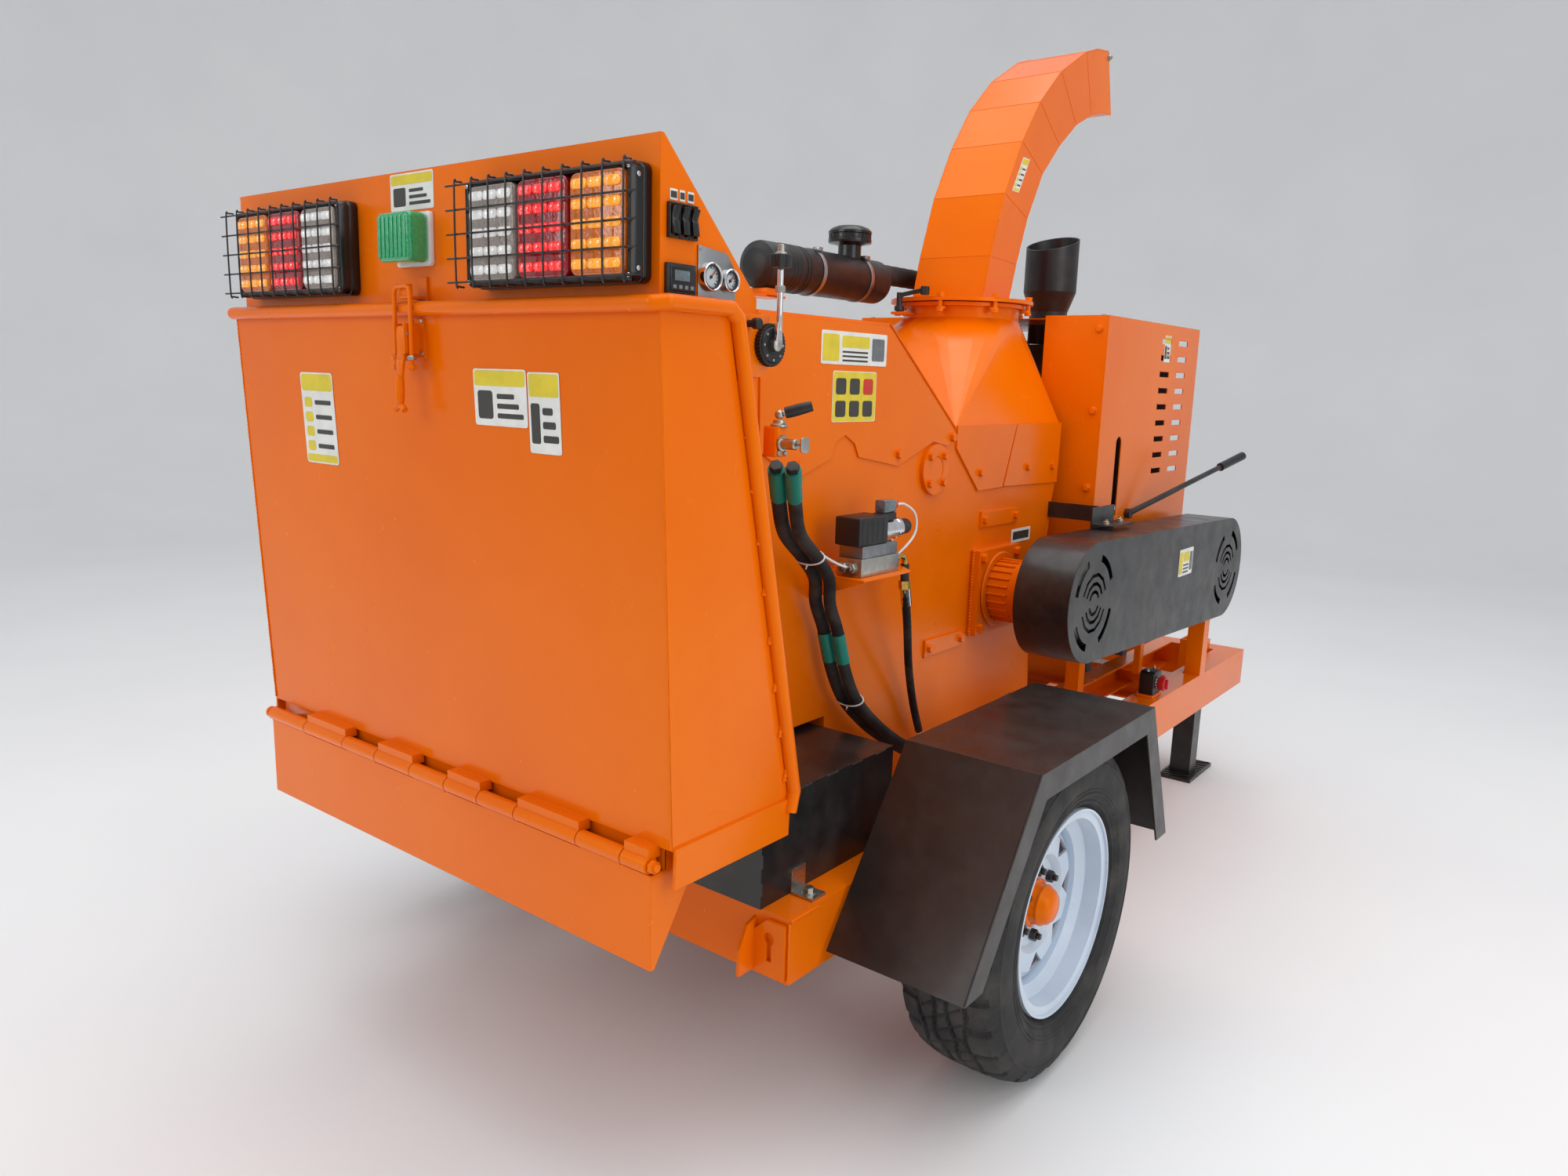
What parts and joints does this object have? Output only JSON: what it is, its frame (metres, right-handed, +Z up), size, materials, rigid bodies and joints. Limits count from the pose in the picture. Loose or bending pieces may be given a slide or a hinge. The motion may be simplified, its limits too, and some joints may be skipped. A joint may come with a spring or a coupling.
{
  "type": "towable wood chipper",
  "caption": "Towable wood chipper with folding feed tray, swivelling discharge chute, belt-driven rotor, road wheels and drawbar",
  "frame": {"origin": "Ground level, on the centre plane, midway along the bounding box; the wheel axle is 0.615 m behind it.", "axes": "+X right (belt guard side), +Y forward to the tow eye, +Z up; feed tray at -Y."},
  "size_m": [1.66, 3.123, 2.37],
  "materials": {
    "orange_paint": "glossy, slightly rippled coat with fine edge wear",
    "black_paint": "satin",
    "white_paint": "satin, cool white",
    "tyre_rubber": "matte rubber",
    "orange_plastic": "gloss",
    "steel": "zinc plated",
    "rubber_black": "matte rubber",
    "black_plastic": "fine grain",
    "lamp_plastic": "clear coloured plastic",
    "red_plastic": "gloss",
    "engine_grey": "cast, matte"
  },
  "bodies": {
    "chassis": {"air_filter": "black_plastic", "battery": "black_plastic", "belt_guard": "black_paint", "chassis_frame": "orange_paint", "chipper_housing": "orange_paint", "control_valve": "black_plastic", "discharge_transition": "orange_paint", "drive_belts": "rubber_black", "engine": "engine_grey", "engine_hood": "orange_paint", "exhaust_stack": "black_paint", "feed_motor_lower": "black_paint", "fenders": "black_paint", "fuel_tank": "black_paint", "housing_bolts": "orange_paint", "hydraulic_hoses": "rubber_black", "hydraulic_tank": "black_paint", "infeed_hopper": "orange_paint", "instrument_panel": "orange_paint", "isolator_switch": "black_plastic", "light_panel": "orange_paint", "marker_lamp": "lamp_plastic", "mounting_brackets": "steel", "rotor_bearings": "orange_paint", "side_covers": "orange_paint", "tail_lamp_housings": "black_plastic", "tail_lamp_lenses": "lamp_plastic", "throttle_quadrant": "orange_paint", "tray_hinge_pin": "steel", "valve_manifold": "black_paint"},
    "wheel_r": {"wheel_hub_right": "orange_plastic", "wheel_rim_right": "white_paint", "tyre_right": "tyre_rubber"},
    "wheel_l": {"wheel_hub_left": "orange_plastic", "wheel_rim_left": "white_paint", "tyre_left": "tyre_rubber"},
    "tray": {"feed_tray": "orange_paint"},
    "latch_lever_body": {"latch_lever": "orange_paint"},
    "latch_hook": {"latch_u_bolt": "orange_paint"},
    "rocker_1": {"rocker_switch_1": "black_plastic"},
    "rocker_2": {"rocker_switch_2": "black_plastic"},
    "rocker_3": {"rocker_switch_3": "black_plastic"},
    "throttle": {"throttle_lever": "black_plastic"},
    "feed_valve_handle": {"valve_handle": "black_plastic"},
    "key": {"ignition_key": "steel"},
    "rotor": {"rotor_drum": "black_paint", "rotor_knives": "steel", "rotor_pulley": "steel"},
    "engine_drive": {"engine_pulley": "steel"},
    "lower_roller": {"lower_feed_roller": "black_paint"},
    "roller_arm": {"upper_roller_arm": "orange_paint"},
    "upper_roller": {"upper_feed_roller": "black_paint"},
    "chute": {"discharge_chute": "orange_paint"},
    "flap": {"chute_flap": "orange_paint"},
    "chute_lock": {"chute_clamp": "black_paint"},
    "clutch": {"clutch_lever": "black_paint"},
    "isolator": {"isolator_knob": "red_plastic"},
    "jack_r": {"jack_leg_right": "black_paint"},
    "jack_l": {"jack_leg_left": "black_paint"},
    "tow_bar": {"drawbar": "black_paint"}
  },
  "joints": [
    {"name": "wheel_right_spin", "type": "hinge", "parent": "chassis", "child": "wheel_r", "pos_m": [0.7, -0.61549, 0.34], "axis": [1, 0, 0], "continuous": true},
    {"name": "wheel_left_spin", "type": "hinge", "parent": "chassis", "child": "wheel_l", "pos_m": [-0.7, -0.61549, 0.34], "axis": [1, 0, 0], "continuous": true},
    {"name": "tray_fold", "type": "hinge", "parent": "chassis", "child": "tray", "pos_m": [0, -1.50449, 0.667], "axis": [1, 0, 0], "range_deg": [0, 90]},
    {"name": "latch_lever_swing", "type": "hinge", "parent": "tray", "child": "latch_lever_body", "pos_m": [0.02, -1.54349, 1.408], "axis": [-1, 0, 0], "range_deg": [0, 100]},
    {"name": "latch_hook_swing", "type": "hinge", "parent": "tray", "child": "latch_hook", "pos_m": [0.02, -1.54349, 1.362], "axis": [1, 0, 0], "range_deg": [0, 32]},
    {"name": "rocker_1_tilt", "type": "hinge", "parent": "chassis", "child": "rocker_1", "pos_m": [0.549, -1.48749, 1.553], "axis": [0, 1, 0], "range_deg": [-8, 8]},
    {"name": "rocker_2_tilt", "type": "hinge", "parent": "chassis", "child": "rocker_2", "pos_m": [0.549, -1.46949, 1.553], "axis": [0, 1, 0], "range_deg": [-8, 8]},
    {"name": "rocker_3_tilt", "type": "hinge", "parent": "chassis", "child": "rocker_3", "pos_m": [0.549, -1.45149, 1.553], "axis": [0, 1, 0], "range_deg": [-8, 8]},
    {"name": "throttle_swing", "type": "hinge", "parent": "chassis", "child": "throttle", "pos_m": [0.5645, -1.29149, 1.404], "axis": [1, 0, 0], "range_deg": [-20, 35]},
    {"name": "valve_handle_swing", "type": "hinge", "parent": "chassis", "child": "feed_valve_handle", "pos_m": [0.5, -1.20049, 1.303], "axis": [0, 0, 1], "range_deg": [-20, 20]},
    {"name": "key_turn", "type": "hinge", "parent": "chassis", "child": "key", "pos_m": [0.54, -1.20349, 1.258], "axis": [1, 0, 0], "range_deg": [0, 90]},
    {"name": "rotor_spin", "type": "hinge", "parent": "chassis", "child": "rotor", "pos_m": [0, -0.05549, 0.85], "axis": [1, 0, 0], "continuous": true},
    {"name": "engine_pulley_spin", "type": "hinge", "parent": "chassis", "child": "engine_drive", "pos_m": [0.5, 1.00451, 0.814], "axis": [1, 0, 0], "continuous": true},
    {"name": "lower_roller_spin", "type": "hinge", "parent": "chassis", "child": "lower_roller", "pos_m": [0, -0.50549, 0.69], "axis": [1, 0, 0], "continuous": true},
    {"name": "roller_arm_lift", "type": "hinge", "parent": "chassis", "child": "roller_arm", "pos_m": [0, -0.37049, 1.165], "axis": [-1, 0, 0], "range_deg": [0, 28]},
    {"name": "upper_roller_spin", "type": "hinge", "parent": "roller_arm", "child": "upper_roller", "pos_m": [0, -0.53549, 1], "axis": [1, 0, 0], "continuous": true},
    {"name": "chute_swivel", "type": "hinge", "parent": "chassis", "child": "chute", "pos_m": [0, 0.24451, 1.585], "axis": [0, 0, 1], "continuous": true},
    {"name": "chute_flap_swing", "type": "hinge", "parent": "chute", "child": "flap", "pos_m": [0, 0.87701, 2.3685], "axis": [1, 0, 0], "range_deg": [0, 60]},
    {"name": "chute_lock_turn", "type": "hinge", "parent": "chassis", "child": "chute_lock", "pos_m": [-0.074, 0.03651, 1.57], "axis": [0, 0, -1], "range_deg": [0, 80]},
    {"name": "clutch_swing", "type": "hinge", "parent": "chassis", "child": "clutch", "pos_m": [0.404, 0.57951, 1.001], "axis": [1, 0, 0], "range_deg": [0, 25]},
    {"name": "isolator_turn", "type": "hinge", "parent": "chassis", "child": "isolator", "pos_m": [0.54, 0.60851, 0.507], "axis": [1, 0, 0], "range_deg": [0, 90]},
    {"name": "jack_right_lift", "type": "slide", "parent": "chassis", "child": "jack_r", "axis": [0, 0, 1], "range_m": [0, 0.27]},
    {"name": "jack_left_lift", "type": "slide", "parent": "chassis", "child": "jack_l", "axis": [0, 0, 1], "range_m": [0, 0.27]},
    {"name": "drawbar_extend", "type": "slide", "parent": "chassis", "child": "tow_bar", "axis": [0, 1, 0], "range_m": [0, 0.5]}
  ],
  "couplings": [
    {"joint": "engine_pulley_spin", "follows": "rotor_spin", "ratio": 1.1429},
    {"joint": "upper_roller_spin", "follows": "lower_roller_spin", "ratio": -0.84375},
    {"joint": "latch_hook_swing", "follows": "latch_lever_swing", "ratio": 0.3}
  ]
}
